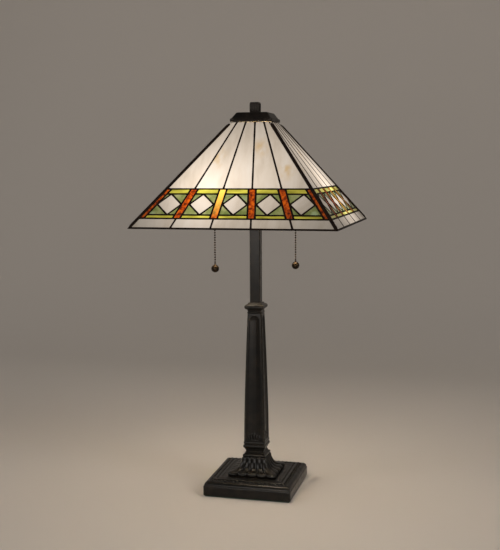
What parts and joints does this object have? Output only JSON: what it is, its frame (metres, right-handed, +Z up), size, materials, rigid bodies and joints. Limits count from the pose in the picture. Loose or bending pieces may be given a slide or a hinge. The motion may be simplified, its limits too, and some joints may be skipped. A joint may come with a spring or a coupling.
{
  "type": "stained glass table lamp",
  "caption": "Mission style table lamp with a square pyramid leaded glass shade and diamond band, pull chains, a square post, a tapered column and a stepped square base.",
  "frame": {"origin": "centre of the underside of the base, on the surface the lamp stands on", "axes": "+Z up along the post, front face of the shade and base towards -Y, +X to the right seen from the front"},
  "size_m": [0.335, 0.335, 0.6601],
  "materials": {
    "bronze": "dark bronze, satin, nearly black",
    "cap_metal": "black-brown patina, satin",
    "seam": "black-brown patina on solder, semi-gloss",
    "opal_glass": "streaky white and beige opalescent sheet, glossy",
    "band_glass": "opalescent diamonds, mottled green triangles, hammered amber strips",
    "bulb_glass": "frosted white inside",
    "brass": "aged brass, satin",
    "chain_metal": "antique bronze plate",
    "steel": "zinc plated",
    "iron": "as cast",
    "felt": "dark green felt",
    "black_plastic": "matt black"
  },
  "bodies": {
    "stand": {"base_felt": "felt", "base_plate": "bronze", "ballast_plate": "iron", "bottom_washer": "steel", "bottom_nut": "steel", "cord_bushing": "black_plastic", "fluted_pedestal": "bronze", "waist_collar": "bronze", "column_shaft": "bronze", "column_collar": "bronze", "upper_post": "bronze", "threaded_rod": "steel", "cluster_body": "brass", "cluster_nut": "brass", "riser_pipe": "brass", "seat_nut": "brass", "seat_washer": "brass", "socket_cap_right": "brass", "socket_shell_right": "brass", "chain_bell_right": "brass", "socket_cap_left": "brass", "socket_shell_left": "brass", "chain_bell_left": "brass"},
    "shade": {"vase_cap": "cap_metal", "crown_ring": "brass", "seam_lattice_front": "seam", "upper_glass_front": "opal_glass", "band_glass_front": "band_glass", "border_glass_front": "opal_glass", "rim_bar_front": "seam", "hip_seam_front": "seam", "seam_lattice_right": "seam", "upper_glass_right": "opal_glass", "band_glass_right": "band_glass", "border_glass_right": "opal_glass", "rim_bar_right": "seam", "hip_seam_right": "seam", "seam_lattice_back": "seam", "upper_glass_back": "opal_glass", "band_glass_back": "band_glass", "border_glass_back": "opal_glass", "rim_bar_back": "seam", "hip_seam_back": "seam", "seam_lattice_left": "seam", "upper_glass_left": "opal_glass", "band_glass_left": "band_glass", "border_glass_left": "opal_glass", "rim_bar_left": "seam", "hip_seam_left": "seam"},
    "finial": {"finial": "cap_metal"},
    "bulb_right": {"bulb_base_right": "steel", "bulb_glass_right": "bulb_glass"},
    "chain_stem_right": {"chain_stem_right": "chain_metal"},
    "pull_chain_right": {"pull_chain_right": "chain_metal", "chain_ball_right": "chain_metal"},
    "bulb_left": {"bulb_base_left": "steel", "bulb_glass_left": "bulb_glass"},
    "chain_stem_left": {"chain_stem_left": "chain_metal"},
    "pull_chain_left": {"pull_chain_left": "chain_metal", "chain_ball_left": "chain_metal"}
  },
  "joints": [
    {"name": "shade_turn", "type": "hinge", "parent": "stand", "child": "shade", "pos_m": [0, 0, 0.627], "axis": [0, 0, 1], "continuous": true},
    {"name": "finial_turn", "type": "hinge", "parent": "stand", "child": "finial", "pos_m": [0, 0, 0.643], "axis": [0, 0, 1], "continuous": true},
    {"name": "bulb_turn_right", "type": "hinge", "parent": "stand", "child": "bulb_right", "pos_m": [0.0229, 0.01431, 0.4646], "axis": [0.424, 0.265, 0.866], "continuous": true},
    {"name": "chain_pull_right", "type": "slide", "parent": "stand", "child": "chain_stem_right", "axis": [0, 0, -1], "range_m": [0, 0.01], "stiffness_N_per_m": 400, "springref_m": -0.002},
    {"name": "chain_swing_right", "type": "hinge", "parent": "chain_stem_right", "child": "pull_chain_right", "pos_m": [0.06106, 0.03815, 0.44965], "axis": [-0.5299, 0.848, 0], "range_deg": [-20, 20]},
    {"name": "bulb_turn_left", "type": "hinge", "parent": "stand", "child": "bulb_left", "pos_m": [-0.0229, -0.01431, 0.4646], "axis": [-0.424, -0.265, 0.866], "continuous": true},
    {"name": "chain_pull_left", "type": "slide", "parent": "stand", "child": "chain_stem_left", "axis": [0, 0, -1], "range_m": [0, 0.01], "stiffness_N_per_m": 400, "springref_m": -0.002},
    {"name": "chain_swing_left", "type": "hinge", "parent": "chain_stem_left", "child": "pull_chain_left", "pos_m": [-0.06106, -0.03815, 0.44965], "axis": [0.5299, -0.848, 0], "range_deg": [-20, 20]}
  ]
}
